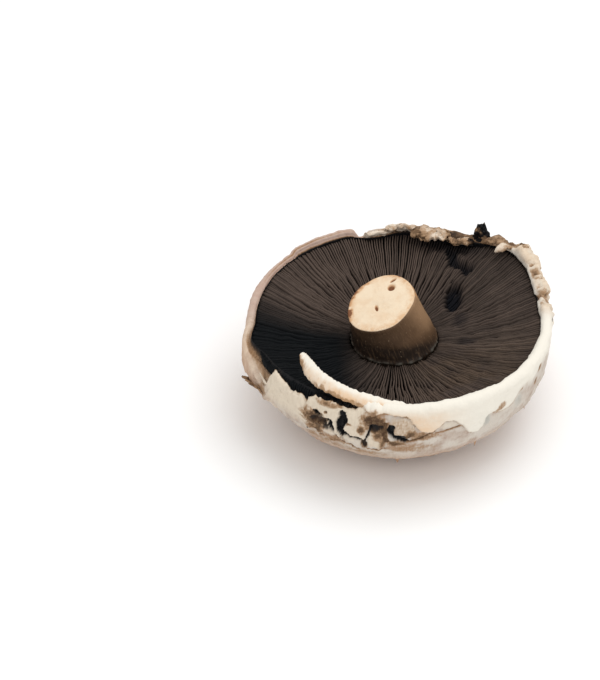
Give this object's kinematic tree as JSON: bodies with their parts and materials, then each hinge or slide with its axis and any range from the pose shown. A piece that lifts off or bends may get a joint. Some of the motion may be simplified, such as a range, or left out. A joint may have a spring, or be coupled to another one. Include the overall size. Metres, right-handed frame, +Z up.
{
  "type": "portobello mushroom",
  "caption": "Whole picked portobello mushroom lying on its deep cap, with dark radiating gills, a torn curled rim and a short thick stem cut off aslant.",
  "frame": {"origin": "middle of the small flat spot of the cap that the mushroom lies on", "axes": "+Z up, out of the gill side; -Y towards the torn stretch of rim, +X to its right"},
  "size_m": [0.113, 0.1088, 0.0523],
  "materials": {
    "cap_skin": "matt fibrous skin, cream at the rim and tan with brown scales towards the crown",
    "gill_brown": "matt dark brown",
    "stem_flesh": "satin fibrous side with a pale cut face"
  },
  "bodies": {
    "root": {"cap": "cap_skin", "gills": "gill_brown", "stem": "stem_flesh"}
  },
  "joints": []
}
